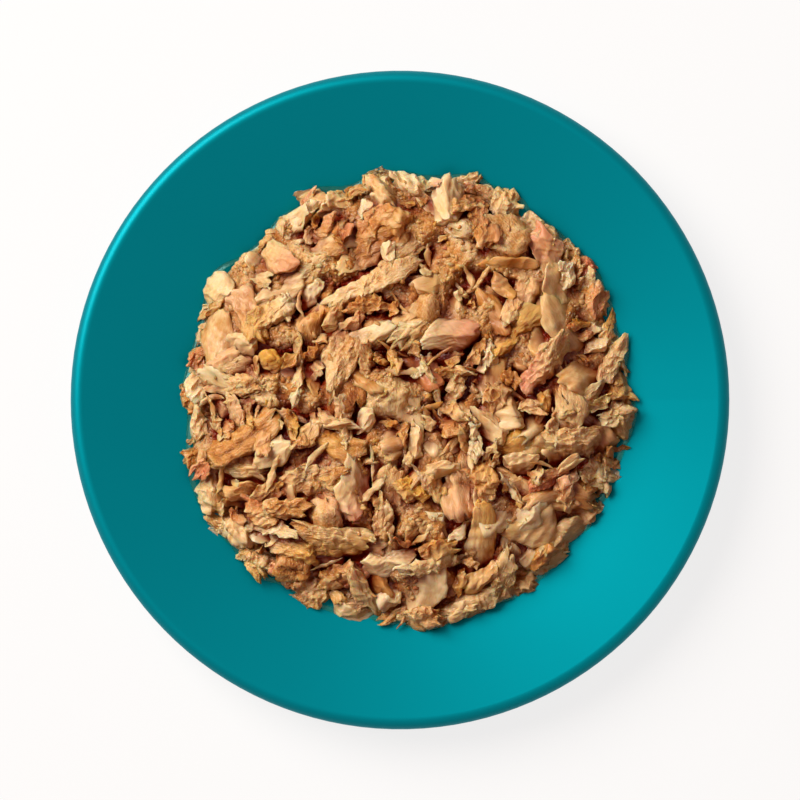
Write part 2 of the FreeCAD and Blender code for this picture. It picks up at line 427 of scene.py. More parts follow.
def makeCore(rng):
    steps, rings = core["steps"], core["rings"]
    turns = np.arange(steps) / steps * 2 * math.pi
    share, turn = np.meshgrid(np.linspace(0, 1, rings + 1)[1:], turns, indexing="ij")
    lowShare, lowTurn = np.meshgrid(core["lowShares"], turns, indexing="ij")
    share, turn = np.append(share, lowShare), np.append(turn, lowTurn)
    reach = outlineAt(turn) - core["setBack"]
    x = np.append(heapMiddle[0] + share * reach * np.cos(turn), heapMiddle[0])
    y = np.append(heapMiddle[1] + share * reach * np.sin(turn), heapMiddle[1])
    under = heightAt(plateTop, x, y) + core["gap"]
    level = heightAt(blurred(ground, core["smooth"]), x, y) + core["lift"]
    for width, height in core["swells"]:
        level += height * ripple(rng, np.stack([x, y, 0 * x], 1), width, 9)[:, 0]
    level = np.minimum(level, heightAt(heapTop, x, y) - core["cover"])
    share = np.append(share, 0)
    # it is rounded off towards its edge
    over = np.maximum(level - under, core["thinnest"]) * np.clip(1 - share ** 18, 0, 1) ** 0.6
    topCount, lowCount = rings * steps, len(core["lowShares"]) * steps
    over[topCount:topCount + lowCount] = 0
    points = np.vstack([np.stack([x, y, under + over], 1), [[*heapMiddle, under[-1]]]])
    crown, middle = len(points) - 2, len(points) - 1
    faces = []
    for k in range(steps):
        n = (k + 1) % steps
        faces.append((k, n, crown))
        last = topCount + lowCount - steps
        for start in range(0, last, steps):
            faces.append((start + k, start + steps + k, start + steps + n, start + n))
        faces.append((last + n, last + k, middle))
    top = points[:topCount]
    np.maximum.at(ground, (cellOf(top[:, 0]), cellOf(top[:, 1])), top[:, 2])
    return points, faces, topCount


# how high the pieces laid so far reach
ground = np.maximum(plateTop, blurred(heapTop, core["smooth"]) - core["depth"])

# Stages of filling, from the bottom up. Lengths are in mm, and widths and thicknesses are shares of them, but
# for strands, whose widths are in mm. Depth is how far below the heap's outer shape a stage stops, inset is
# how far inside its outline the pieces' middles lie, tilt is in radians, and a hollow lies at least that much
# below its surroundings.

stages = [
    {"name": "edge lumps", "to": "edge_lumps", "kinds": ("chunk", "fibre", "fibre"), "count": 54,
     "template": "fine", "length": (8, 14), "width": (0.5, 0.7), "thick": (0.4, 0.55), "depth": 1.0,
     "inset": (2.2, 4.2), "tilt": 0.2, "ring": True, "tone": 0.64},
    {"name": "lower lumps", "to": "chunks", "kinds": ("chunk", "fibre", "fibre", "fibre"), "count": 60,
     "template": "plain", "length": (13, 22), "width": (0.4, 0.56), "thick": (0.35, 0.5), "depth": 5.4,
     "inset": (5.0, 60.0), "tilt": 0.4},
    {"name": "lower flakes", "to": "flakes", "kinds": ("flake",), "count": 45,
     "template": "plain", "length": (10, 18), "width": (0.45, 0.7), "thick": (0.3, 0.42), "depth": 5.0,
     "inset": (4.0, 60.0), "tilt": 0.45, "tone": 0.64},
    {"name": "core"},
    {"name": "top pieces"},
    {"name": "upper lumps", "to": "lumps", "kinds": ("chunk", "fibre", "fibre", "flake"), "count": 44,
     "template": "fine", "length": (6, 13), "width": (0.36, 0.58), "thick": (0.3, 0.45), "depth": 1.2,
     "inset": (2.5, 60.0), "tilt": 0.4, "hollow": 1.6},
    {"name": "shreds", "to": "shreds", "kinds": ("strand",), "count": 26,
     "length": (5, 11), "width": (0.8, 1.9), "depth": 0.0, "inset": (2.0, 60.0), "tilt": 0.1, "hollow": 0.5},
    {"name": "bits", "to": "bits", "kinds": ("chunk", "fibre", "fibre"), "count": 60,
     "template": "plain", "length": (2.5, 6.0), "width": (0.4, 0.75), "thick": (0.3, 0.45), "depth": 0.0,
     "inset": (0.8, 60.0), "tilt": 0.5, "hollow": 1.2},
]

# Pieces that lie on top, listed one by one: x, y, yaw in degrees, length, width, thickness, kind, tone, blush,
# fat, and how far their ends bend sideways and curl up
topPieces = [
    (-21, 49, -15, 10.5, 7, 3, "flake", 0.55, 0.2, 0.3, 0, 0),
    (-29, 34, -30, 11, 8.5, 3.2, "flake", 0.6, 0.7, 0.1, 1, -0.6),
    (-21, 26, 60, 11, 5.5, 2.4, "flake", 0.85, 0.1, 0, 0.5, 0),
    (-38, 14, -10, 10, 7.5, 3, "flake", 0.7, 0, 0.1, 0, 0),
    (-31.5, 10, 0, 6.8, 6.4, 6, "ball", 0.5, 0, 1.4, 0, 0),
    (-24, 7, 86, 15, 3, 2.6, "fibre", 0.75, 0, 0.3, 1.6, 0),
    (-14, 12, 60, 20, 10.5, 6, "fibre", 0.65, 0.3, 0, 1.2, -1),
    (-7.6, 28, 24, 24, 6, 5, "fibre", 0.65, 0.1, 0.1, 1, -0.8),
    (-14.4, 40, 95, 8, 6, 5, "chunk", 0.3, 0.6, 0, 0, 0),
    (-3.2, 42, 20, 18, 13.5, 7, "chunk", 0.45, 0.3, 0.2, 0, 0),
    (-27, 22.5, 88, 8, 4.5, 4, "chunk", 0.85, 0, 0.1, 0, 0),
    (-49.5, 10, 20, 8, 7, 5, "chunk", 0.5, 0.6, 0.1, 0, 0),
    (-42.5, 9.5, 35, 8, 6, 4, "flake", 0.6, 0.5, 0.3, 0, 0),
    (-44, 27, 60, 10, 7.5, 5, "ball", 0.68, 0, 0.2, 0.5, 0),
    (-39, 3.5, 12, 15, 7.5, 5.5, "fibre", 0.6, 0.2, 0.2, 0.6, 0),
    (-2.7, 35.5, 80, 6, 4.5, 3, "flake", 0.8, 0, 0.1, 0, 0),
    (1, 17, 30, 8, 6.5, 3, "flake", 0.85, 0.1, 0, 0, 0),
    (11.5, 47, 70, 14, 9.5, 6.5, "flake", 0.8, 0.15, 0.1, 0.5, 0),
    (20, 43, 102, 13, 8, 6, "chunk", 0.4, 0.5, 0, 0, 0),
    (25, 48, 75, 11.5, 6, 4.5, "fibre", 0.75, 0, 0.4, 1.5, 0.5),
    (36, 36, 100, 14, 8.5, 3.2, "flake", 0.62, 0.9, 0, 0.5, 0),
    (44.5, 33, 50, 8.5, 7, 5, "chunk", 0.42, 1.2, 0, 0, 0),
    (40.5, 31, 96, 9.5, 4.5, 3.5, "fibre", 0.95, 0, 0, 0.5, 0),
    (11.5, 15.5, 8, 17, 9.5, 4.2, "flake", 0.78, 0.8, 0, -0.8, 0),
    (6.5, 22, 50, 21, 7.5, 5, "fibre", 0.55, 0.4, 0.2, 1, -0.8),
    (28, 22, 78, 10, 7, 4.6, "chunk", 0.65, 0.3, 0.1, 0, 0),
    (21, 11, 96, 9.5, 5, 4, "chunk", 0.9, 0, 0.1, 0, 0),
    (33.5, 6.5, 56, 21, 7.5, 5.5, "fibre", 0.62, 1.1, 0, 0.6, 0),
    # painted light: this piece and the next two, on the side turned away from the key lamp, have paler tones
    # to lift the shade there
    (44.5, 0.5, 20, 15, 6.5, 4.5, "fibre", 0.75, 0, 0.5, 1.5, -0.6),
    (51, 8.5, 68, 15, 5.5, 4.5, "fibre", 0.74, 0.2, 0.2, -0.8, 0),
    (48, 13, 15, 7.5, 5.5, 3.2, "flake", 0.75, 0, 0, 0, 0),
    (23, 0.5, 108, 12, 8, 5.2, "chunk", 0.5, 0.25, 0, 0, 0),
    (-13.7, -5.5, 92, 17, 4.6, 4, "fibre", 0.65, 0.4, 0, 0.4, 0),
    (-22.5, -18, 10, 20, 9, 6, "chunk", 0.5, 0.3, 0.1, 0.5, -0.6),
    (-11.5, -22, 75, 17, 9, 3.2, "flake", 0.78, 0.9, 0, 1, 0.4),
    (1.2, -21.5, 30, 10, 8, 4.5, "chunk", 0.55, 0, 1.2, 0, 0),
    (-22, -7.5, 60, 10, 7.5, 5.5, "chunk", 0.5, 0.1, 0.2, 0, 0),
    (-31, -13, 42, 13, 8, 3.6, "flake", 0.78, 0, 0.1, 0.5, 0),
    (-15.5, -34, -4, 22, 7.5, 5, "fibre", 0.6, 0, 0.9, 1, -0.8),
    (-25.5, -37.5, -14, 16, 9, 5.5, "chunk", 0.7, 0, 1.0, 0, 0),
    (-33, -30.5, -5, 18.5, 5, 3.6, "fibre", 0.8, 0.1, 0.2, -0.8, 0),
    (-43, -31.5, 10, 9, 4.5, 3.5, "fibre", 0.8, 0, 0.3, 0, 0),
    (-12, -51, -15, 10.5, 8, 4, "flake", 0.7, 0.1, 0, 0, 0),
    (-3, -39.5, 5, 16, 7.5, 3.6, "flake", 0.85, 0, 0.1, 0.5, 0),
    (-14.5, -42.5, 20, 12, 6.5, 5, "chunk", 0.45, 0.2, 0.1, 0, 0),
    (-21, -47.5, 10, 9.5, 7.5, 4.6, "chunk", 0.6, 0.4, 0.2, 0, 0),
    (-48, -15.5, 60, 6.5, 5.5, 4.5, "chunk", 0.45, 0.8, 0, 0, 0),
    (-0.5, 0.5, 100, 21, 15, 7, "fibre", 0.68, 0, 0.35, 1, -1),
    (-8, -5, 70, 8, 5.5, 3.6, "flake", 0.85, 0, 0.1, 0, 0),
    (21.5, -6, -45, 13, 6.5, 3.2, "flake", 0.72, 0.2, 0, 0.5, 0),
    (42.5, -10.5, -8, 21, 12, 6, "fibre", 0.6, 0.15, 0.2, 0.8, -0.8),
    (35.5, -19, 25, 19, 4.5, 4, "fibre", 0.5, 1.2, 0.1, 0.6, 0),
    (40.5, -22, 76, 12, 6.5, 4.5, "chunk", 0.65, 0.5, 0, 0, 0),
    (29.5, -15, 10, 8.5, 6.5, 3, "flake", 0.65, 0.1, 0.1, 0, 0),
    (20, -18.5, 92, 11, 7, 5, "chunk", 0.45, 0, 0.5, 0, 0),
    (19.5, -34.5, 86, 22, 8, 3.6, "flake", 0.68, 0.1, 1.0, 0.6, -0.5),
    (8, -35.5, 15, 10, 6.5, 5, "chunk", 0.5, 0, 0.5, 0, 0),
    (8, -40, 14, 17.5, 4, 3.4, "fibre", 0.75, 0, 0.2, 0.8, 0),
    (31, -29, 40, 12, 8, 4.2, "flake", 0.9, 0, 0.1, 0.5, 0),
    (40.5, -31.5, 30, 10.5, 7.5, 5, "ball", 0.65, 0.1, 0.1, 0, 0),
    (34.5, -38, 25, 14, 8, 4.2, "flake", 0.68, 0.1, 0.1, 0, 0),
    (25, -42.5, 72, 14, 6.5, 4.6, "fibre", 0.65, 0, 0.2, 0.6, 0),
    (18, -48.5, 18, 16, 7, 5, "fibre", 0.65, 0.1, 0.2, -0.8, 0),
    (5, -52.5, 5, 11, 7, 4.6, "chunk", 0.55, 0.2, 0.1, 0, 0),
    (10.5, -16.5, 10, 8.5, 4.5, 3.2, "flake", 0.65, 0, 0.1, 0, 0),
    (4, -10, 88, 12, 4, 3.4, "flake", 0.75, 0, 0.2, 0, 0),
    # painted light: a paler tone on the side turned away from the key lamp, to lift the shade there
    (52, -3.5, 10, 9, 6, 4.6, "chunk", 0.76, 0.2, 0.1, 0, 0),
    (48, -18, -30, 12, 7.5, 4.6, "fibre", 0.74, 0, 0.2, 0.5, 0),
    (5.5, 8.5, 60, 10, 1.8, 1.6, "fibre", 0.85, 0, 0.2, 0.5, 0),
    (9, 1, 104, 20, 2.2, 1.8, "fibre", 0.85, 0, 0.3, 0.8, 0),
]


# the spread of their tilts in radians, and the share of their points that ends up below what they lie on
handLaid = {"tilt": 0.16, "sink": 0.1}


def layTopPieces(rng):
    for x, y, yaw, length, width, thick, kindName, tone, blush, fat, bend, curl in topPieces:
        kind = pieceKinds[kindName]
        shaped = shapePiece(rng, kind, (length, width, thick), "fine", bend, curl)
        look = lookOf(rng, shaped, tone, blush, fat, kind["grain"])
        target = "top_flakes" if kindName == "flake" else "top_lumps"
        tilt = rng.normal(0, handLaid["tilt"], 2)
        layPiece(target, shaped, np.array((x, y)), yaw, tilt, kind["limp"], handLaid["sink"], look)


# How the other pieces are scattered
scatter = {
    "tries": 400,               # random places, of which the lowest is taken
    "choice": 1.5,              # mm by which a place may seem lower than it is
    "offGrid": 0.4,             # mm off the middle of its cell
    "surroundings": 14.0,       # mm across what a hollow is compared with
    "footprint": 0.3,           # share of the length over which a place's height is taken
    "ringStep": 0.618,          # of a turn from one piece at the edge to the next
    "ringYaw": 30.0,            # degrees off the outline's direction
    "tone": 0.55, "toneSpread": 0.15, "toneRange": (0.25, 0.78),
    "blushSpread": 0.35,
    "fat": 0.05, "fatSpread": 0.6, "fatRange": (0, 0.75),
    "bend": 0.06, "curl": -0.03,            # shares of the length
    "flakeThickness": 0.6,                  # a flake is this much thinner than a lump
    "edge": 6.0, "limpAtEdge": 0.85,        # mm from the outline where pieces hug the plate
    "sink": 0.15,
}


def findPlace(rng, stage, number):
    # the lowest of many random places, or one in the next direction of a ring, its cell, and whether it has
    # room
    least, most = stage["inset"]
    allowed = (toEdge > least) & (toEdge < most)
    goal = heapTop - stage["depth"]
    if "hollow" in stage:
        goal = np.minimum(goal, blurred(ground, scatter["surroundings"]) - stage["hollow"])
    room = np.where(allowed, goal - blurred(ground, scatter["footprint"] * stage["length"][0]), -np.inf)
    i, j = rng.integers(0, cellCount, (2, scatter["tries"]))
    if "ring" in stage:
        inTurn = sector == int(number * scatter["ringStep"] * outlineSteps) % outlineSteps
        room = np.where(allowed & inTurn, 1.0, -np.inf)
        i, j = np.nonzero(room > 0)
    best = np.argmax(room[i, j] + rng.uniform(0, scatter["choice"], len(i)))
    cell = i[best], j[best]
    place = cellMiddles[list(cell)] + rng.uniform(-scatter["offGrid"], scatter["offGrid"], 2)
    return place, cell, room[cell] >= 0


def layStage(rng, stage):
    for number in range(stage["count"]):
        place, cell, hasRoom = findPlace(rng, stage, number)
        if not hasRoom:
            continue
        kindName = stage["kinds"][rng.integers(len(stage["kinds"]))]
        length = rng.uniform(*stage["length"])
        tone = rng.normal(stage.get("tone", scatter["tone"]), scatter["toneSpread"])
        tone = np.clip(tone, *scatter["toneRange"])
        blush = max(rng.normal(0.0, scatter["blushSpread"]), 0)
        fat = np.clip(rng.normal(scatter["fat"], scatter["fatSpread"]), *scatter["fatRange"])
        yaw = rng.uniform(0, 360)
        if "ring" in stage:
            yaw = math.degrees(gridTurn[cell]) + 90 + rng.normal(0, scatter["ringYaw"])
        tilt = rng.normal(0, stage["tilt"], 2) * (1, 0.6)
        width = rng.uniform(*stage["width"])
        if kindName == "strand":
            shaped = shapeStrand(rng, length, width, rng.normal(0, strand["bend"]))
            grain, limp = strand["grain"], strand["limp"]
        else:
            kind = pieceKinds[kindName]
            thick = length * rng.uniform(*stage["thick"])
            if kindName == "flake":
                thick = scatter["flakeThickness"] * thick
            bend, curl = rng.normal(0, scatter["bend"]) * length, scatter["curl"] * length
            shaped = shapePiece(rng, kind, (length, length * width, thick), stage["template"], bend, curl)
            grain = kind["grain"]
            limp = scatter["limpAtEdge"] if toEdge[cell] < scatter["edge"] else kind["limp"]
        look = lookOf(rng, shaped, tone, blush, fat, grain)
        layPiece(stage["to"], shaped, place, yaw, tilt, limp, scatter["sink"], look)


for number, stage in enumerate(stages):
    rng = np.random.default_rng(40 + number)
    if stage["name"] == "core":
        corePoints, coreFaces, coreTop = makeCore(rng)
    elif stage["name"] == "top pieces":
        layTopPieces(rng)
    else:
        layStage(rng, stage)
    gap = (heapTop - ground)[toEdge > scatter["edge"]]
    print("laid %s, %.1f mm below the outer shape, at least %.1f" % (stage["name"], gap.mean(), gap.min()))


def addMesh(name, points, faces):
    mesh = bpy.data.meshes.new(name)
    mesh.from_pydata((np.asarray(points) * mm).tolist(), [], [tuple(map(int, face)) for face in faces])
    mesh.update()
    piece = bpy.data.objects.new(name, mesh)
    bpy.context.scene.collection.objects.link(piece)
    return piece


def addAttribute(mesh, name, values, kind="FLOAT"):
    attribute = mesh.attributes.new(name, kind, "POINT")
    attribute.data.foreach_set("vector" if kind == "FLOAT_VECTOR" else "value", np.ravel(values))


# Painted shade lies between the pieces, below a skin over the heap: mm that the skin is evened out over,
# coarsely and finely, mm that it may rise over the finer one, its depth to where the painted shade is fullest,
# and over how many mm and how far it thins out at the edge
gapShading = {"coarse": 9.0, "fine": 3.0, "rise": 1.0, "depth": 2.2, "edge": 7.0, "atEdge": 0.25}
heapSkin = np.minimum(blurred(ground, gapShading["coarse"]), blurred(ground, gapShading["fine"]) + gapShading["rise"])


def gapShadeAt(points):
    # painted shade: how deep a point lies below the heap's skin, from 0 on top to 1
    x, y = points[:, 0], points[:, 1]
    thick = np.clip(heightAt(toEdge, x, y) / gapShading["edge"], gapShading["atEdge"], 1)
    return thick * np.clip((heightAt(heapSkin, x, y) - points[:, 2]) / gapShading["depth"], 0, 1)


def meshOfPieces(name):
    store = heap[name]
    piece = addMesh(name, np.vstack(store["points"]), np.vstack(store["faces"]))
    look = np.vstack(store["look"])
    for column, attribute in enumerate(("tone", "blush", "fat", "grain")):
        addAttribute(piece.data, attribute, look[:, column])
    # painted shade, by how deep each point lies below the heap's skin
    addAttribute(piece.data, "gapShade", gapShadeAt(np.vstack(store["points"])))
    addAttribute(piece.data, "rest", np.vstack(store["rest"]), "FLOAT_VECTOR")
    return piece


# Geometry Nodes: a tree that roughens meat along its normals, with fibres along the rest position's X

# a fibre's width as a share of its length, in the relief and in the colours
fibreStretch = {"mesh": 0.2, "material": 0.25}


def newTree(name, sockets):
    tree = bpy.data.node_groups.new(name, "GeometryNodeTree")
    tree.interface.new_socket("Geometry", in_out="INPUT", socket_type="NodeSocketGeometry")
    for socket, kind in sockets.items():
        tree.interface.new_socket(socket, in_out="INPUT", socket_type="NodeSocket" + kind)
    tree.interface.new_socket("Geometry", in_out="OUTPUT", socket_type="NodeSocketGeometry")
    return tree


def finishTree(tree, geometry, material):
    real = addNode(tree, "GeometryNodeRealizeInstances", {"Geometry": geometry})
    smooth = addNode(tree, "GeometryNodeSetShadeSmooth", {"Geometry": real.outputs[0]})
    finished = addNode(tree, "GeometryNodeSetMaterial", {"Geometry": smooth.outputs[0], "Material": material})
    addNode(tree, "NodeGroupOutput", {"Geometry": finished.outputs[0]})
    return tree


def roughenTree():
    tree = newTree("roughenMeat", {"Grain Size": "Float", "Grain Depth": "Float",
                                   "Fibre Width": "Float", "Fibre Depth": "Float", "Material": "Material"})
    inputs = addNode(tree, "NodeGroupInput").outputs
    rest = addNode(tree, "GeometryNodeInputNamedAttribute", {"Name": "rest"}, data_type="FLOAT_VECTOR")
    grain = addNode(tree, "GeometryNodeInputNamedAttribute", {"Name": "grain"}, data_type="FLOAT")
    drawn = addNode(tree, "ShaderNodeVectorMath", {
        0: rest.outputs[0], 1: (fibreStretch["mesh"], 1, 1)}, operation="MULTIPLY")
    bumps = []
    for place, width, depth in ((rest, "Grain Size", "Grain Depth"), (drawn, "Fibre Width", "Fibre Depth")):
        scale = addNode(tree, "ShaderNodeMath", {0: 1.0, 1: inputs[width]}, operation="DIVIDE")
        cells = addNode(tree, "ShaderNodeTexVoronoi", {"Vector": place.outputs[0], "Scale": scale.outputs[0]})
        swing = addNode(tree, "ShaderNodeMath", {0: 0.5, 1: cells.outputs["Distance"]}, operation="SUBTRACT")
        bumps.append(addNode(tree, "ShaderNodeMath", {
            0: swing.outputs[0], 1: inputs[depth]}, operation="MULTIPLY").outputs[0])
    both = addNode(tree, "ShaderNodeMath", {0: bumps[0], 1: bumps[1]}, operation="ADD")
    weighed = addNode(tree, "ShaderNodeMath", {0: both.outputs[0], 1: grain.outputs[0]}, operation="MULTIPLY")
    normal = addNode(tree, "GeometryNodeInputNormal")
    offset = addNode(tree, "ShaderNodeVectorMath", {
        0: normal.outputs[0], "Scale": weighed.outputs[0]}, operation="SCALE")
    moved = addNode(tree, "GeometryNodeSetPosition", {
        "Geometry": inputs["Geometry"], "Offset": offset.outputs[0]})
    return finishTree(tree, moved.outputs[0], inputs["Material"])


def applyTree(piece, tree, values):
    modifier = piece.modifiers.new("Tree", "NODES")
    modifier.node_group = tree
    for item in tree.interface.items_tree:
        if item.in_out == "INPUT" and item.name in values:
            modifier[item.identifier] = values[item.name]
    depsgraph = bpy.context.evaluated_depsgraph_get()
    mesh = bpy.data.meshes.new_from_object(
        piece.evaluated_get(depsgraph), preserve_all_data_layers=True, depsgraph=depsgraph)
    piece.modifiers.clear()
    mesh.name = piece.name
    piece.data = mesh
    return piece


# Materials

def newMaterial(name):
    material = bpy.data.materials.new(name)
    material.use_nodes = True
    material.node_tree.nodes.clear()
    return material


# Poached fish and poultry in gravy: pale muscle that light sinks into a little, in fibres that each have
# their own tone, red-brown painted shade deep between the pieces, patches of pink and of yellow fat, and wet
# all over
meat = {
    "tones": ("#8e420d", "#c68844", "#e2bf8a", "#ecd8b0"),      # from dark to pale
    "toneStops": (0, 0.35, 0.7, 1),
    "blush": "#d37c5e",
    "fat": "#dca23e",
    "tinge": 0.8,           # how far blush and fat cover the meat's own colour where they are strongest
    "gapShadeColour": "#96300c",    # painted shade: multiplies the meat's own colour the deeper a point lies between the pieces
    "patch": 5.0,           # mm across a patch of lighter or darker meat
    "patchSwing": 0.8,      # of its tone
    "fibre": 0.42,          # mm across a fibre
    "fibreSwing": 0.09,
    "grain": 0.55,          # mm across a grain of crumbled meat
    "grainSwing": 0.18,
    "wander": 1.6,          # mm by which the cells' edges wander
    "relief": 0.22,         # mm from a fibre's or a grain's top down to the groove beside it
    "smoothRelief": 0.3,    # share of it on a smooth flake
    "roughness": 0.5,
    "sinkingIn": 0.45,      # share of light that sinks in
    "sinkDepth": 2,         # mm that its red part goes
    "wetness": 0.42,
}


def poachedMeat():
    material = newMaterial("poachedMeatInGravy")
    tree = material.node_tree
    values = {name: addNode(tree, "ShaderNodeAttribute", attribute_name=name).outputs["Fac"]
              for name in ("tone", "blush", "fat", "grain", "gapShade")}
    rest = addNode(tree, "ShaderNodeAttribute", attribute_name="rest").outputs["Vector"]
    # the cells' edges wander, so that fibres and grains are uneven
    wander = addNode(tree, "ShaderNodeTexNoise", {"Vector": rest, "Scale": 0.35, "Detail": 2.0})
    wandered = addNode(tree, "ShaderNodeVectorMath", {
        0: wander.outputs["Color"], 1: [meat["wander"]] * 3, 2: rest}, operation="MULTIPLY_ADD")
    drawn = addNode(tree, "ShaderNodeVectorMath", {
        0: wandered.outputs[0], 1: (fibreStretch["material"], 1, 1)}, operation="MULTIPLY")
    patches = addNode(tree, "ShaderNodeTexNoise", {"Vector": rest, "Scale": 1 / meat["patch"], "Detail": 3.0})
    fibres = addNode(tree, "ShaderNodeTexVoronoi", {
        "Vector": drawn.outputs[0], "Scale": 1 / meat["fibre"]})
    grains = addNode(tree, "ShaderNodeTexVoronoi", {
        "Vector": wandered.outputs[0], "Scale": 1 / meat["grain"]})
    # crumbled meat has no fibres, and smooth flakes have few grains
    grainy = addNode(tree, "ShaderNodeMapRange", {"Value": values["grain"], "From Min": 0.3, "From Max": 1.0})
    stringy = addNode(tree, "ShaderNodeMapRange", {
        "Value": values["grain"], "From Min": 0.8, "From Max": 1.0, "To Min": 1.0, "To Max": 0.0})
    lifted = addNode(tree, "ShaderNodeMath", {
        0: patches.outputs[0], 1: meat["patchSwing"], 2: values["tone"]}, operation="MULTIPLY_ADD")
    tone = addNode(tree, "ShaderNodeMath", {
        0: lifted.outputs[0], 1: meat["patchSwing"] / 2}, operation="SUBTRACT")
    heights = []
    for cells, weight, swing in ((fibres, stringy, "fibreSwing"), (grains, grainy, "grainSwing")):
        own = addNode(tree, "ShaderNodeSeparateXYZ", {0: cells.outputs["Color"]})
        centred = addNode(tree, "ShaderNodeMath", {
            0: own.outputs[0], 1: cells.outputs["Distance"]}, operation="SUBTRACT")
        weighed = addNode(tree, "ShaderNodeMath", {
            0: centred.outputs[0], 1: weight.outputs[0]}, operation="MULTIPLY")
        tone = addNode(tree, "ShaderNodeMath", {
            0: weighed.outputs[0], 1: meat[swing], 2: tone.outputs[0]}, operation="MULTIPLY_ADD")
        heights.append(addNode(tree, "ShaderNodeMath", {
            0: cells.outputs["Distance"], 1: weight.outputs[0]}, operation="MULTIPLY").outputs[0])
    ramp = addNode(tree, "ShaderNodeValToRGB", {"Fac": tone.outputs[0]})
    for stop in meat["toneStops"][1:-1]:
        ramp.color_ramp.elements.new(stop)
    for element, stop, colour in zip(ramp.color_ramp.elements, meat["toneStops"], meat["tones"]):
        element.position = stop
        element.color = linear(colour)
    colour = ramp.outputs[0]
    for name in ("blush", "fat"):
        patched = addNode(tree, "ShaderNodeMath", {
            0: patches.outputs[0], 1: 0.5, 2: values[name]}, operation="MULTIPLY_ADD")
        weight = addNode(tree, "ShaderNodeMapRange", {
            "Value": patched.outputs[0], "From Min": 0.3, "From Max": 1.25, "To Max": meat["tinge"]})
        colour = addNode(tree, "ShaderNodeMix", {
            0: weight.outputs[0], 6: colour, 7: linear(meat[name])}, data_type="RGBA").outputs[2]
    # painted shade: the colour is multiplied towards dark red-brown the deeper a point lies between the pieces
    gapShaded = addNode(tree, "ShaderNodeMix", {
        0: values["gapShade"], 6: colour, 7: linear(meat["gapShadeColour"])}, data_type="RGBA", blend_type="MULTIPLY")
    both = addNode(tree, "ShaderNodeMath", {0: heights[0], 1: heights[1]}, operation="ADD")
    strength = addNode(tree, "ShaderNodeMapRange", {
        "Value": values["grain"], "From Min": 0.1, "From Max": 0.6, "To Min": meat["smoothRelief"]})
    bump = addNode(tree, "ShaderNodeBump", {
        "Height": both.outputs[0], "Distance": meat["relief"] * mm,
        "Strength": strength.outputs[0]}, invert=True)
    shader = addNode(tree, "ShaderNodeBsdfPrincipled", {
        "Base Color": gapShaded.outputs[2], "Roughness": meat["roughness"],
        "IOR": 1.35, "Specular IOR Level": 0.1,
        "Subsurface Weight": meat["sinkingIn"], "Subsurface Radius": (1.0, 0.3, 0.1),
        "Subsurface Scale": meat["sinkDepth"] * mm,
        "Coat Weight": meat["wetness"], "Coat Roughness": 0.1, "Coat IOR": 1.4,
        "Normal": bump.outputs[0], "Coat Normal": bump.outputs[0],
    }, subsurface_method="RANDOM_WALK")
    addNode(tree, "ShaderNodeOutputMaterial", {"Surface": shader.outputs[0]})
    return material


# Coloured glaze on stoneware: an even teal with a soft gloss that takes on its colour, as a glaze full of
# metal oxides does, and bare clay where the plate stood in the kiln
glaze = {
    "deep": "#00727f", "pale": "#007683",
    "gloss": "#00f4ff",     # of its highlights
    "metallic": 0.5,
    "ior": 1.6,
    "roughness": 0.46,
    "clay": "#cdbfa8",
    "clayRoughness": 0.85,
    "bareBelow": 0.7,       # mm over the table
    "glazeEdge": 0.2,       # mm over which the glaze runs out
}


def tealGlaze():
    material = newMaterial("tealGlaze")
    tree = material.node_tree
    place = addNode(tree, "ShaderNodeTexCoord").outputs["Object"]
    clouds = addNode(tree, "ShaderNodeTexNoise", {"Vector": place, "Scale": 30.0, "Detail": 3.0})
    body = addNode(tree, "ShaderNodeMix", {
        0: clouds.outputs[0], 6: linear(glaze["deep"]), 7: linear(glaze["pale"])}, data_type="RGBA")
    height = addNode(tree, "ShaderNodeSeparateXYZ", {0: place})
    bare = addNode(tree, "ShaderNodeMapRange", {
        "Value": height.outputs[2], "From Min": glaze["bareBelow"] * mm,
        "From Max": (glaze["bareBelow"] + glaze["glazeEdge"]) * mm, "To Min": 1.0, "To Max": 0.0})
    colour = addNode(tree, "ShaderNodeMix", {
        0: bare.outputs[0], 6: body.outputs[2], 7: linear(glaze["clay"])}, data_type="RGBA")
    dull = addNode(tree, "ShaderNodeMapRange", {
        "Value": bare.outputs[0], "To Min": glaze["roughness"], "To Max": glaze["clayRoughness"]})
    shader = addNode(tree, "ShaderNodeBsdfPrincipled", {
        "Base Color": colour.outputs[2], "Roughness": dull.outputs[0], "IOR": glaze["ior"],
        "Metallic": glaze["metallic"], "Specular Tint": linear(glaze["gloss"]),
        "Coat Weight": 0.02, "Coat Roughness": 0.15})
    addNode(tree, "ShaderNodeOutputMaterial", {"Surface": shader.outputs[0]})
    return material


meatMaterial = poachedMeat()
roughen = roughenTree()

# size and depth in mm of the grains, then width and depth of the fibres, that stand out of each set of pieces
finishes = {
    "chunks": (1.4, 0.45, 1.1, 0.22),
    "edge_lumps": (1.2, 0.5, 1.0, 0.2),
    "flakes": (1.6, 0.4, 1.2, 0.15),
    "lumps": (1.1, 0.5, 1.0, 0.2),
    "top_flakes": (1.5, 0.35, 1.2, 0.2),
    "top_lumps": (1.1, 0.5, 1.0, 0.22),
    "shreds": (0.9, 0.25, 0.8, 0.2),
    "bits": (1.0, 0.4, 0.9, 0.25),
}
foodPieces = []
for name, (grainSize, grainDepth, fibreWidth, fibreDepth) in finishes.items():
    piece = applyTree(meshOfPieces(name), roughen, {
        "Grain Size": grainSize, "Grain Depth": grainDepth * mm,
        "Fibre Width": fibreWidth, "Fibre Depth": fibreDepth * mm, "Material": meatMaterial})
    foodPieces.append(piece)
    print("made", name, len(piece.data.polygons), "faces")

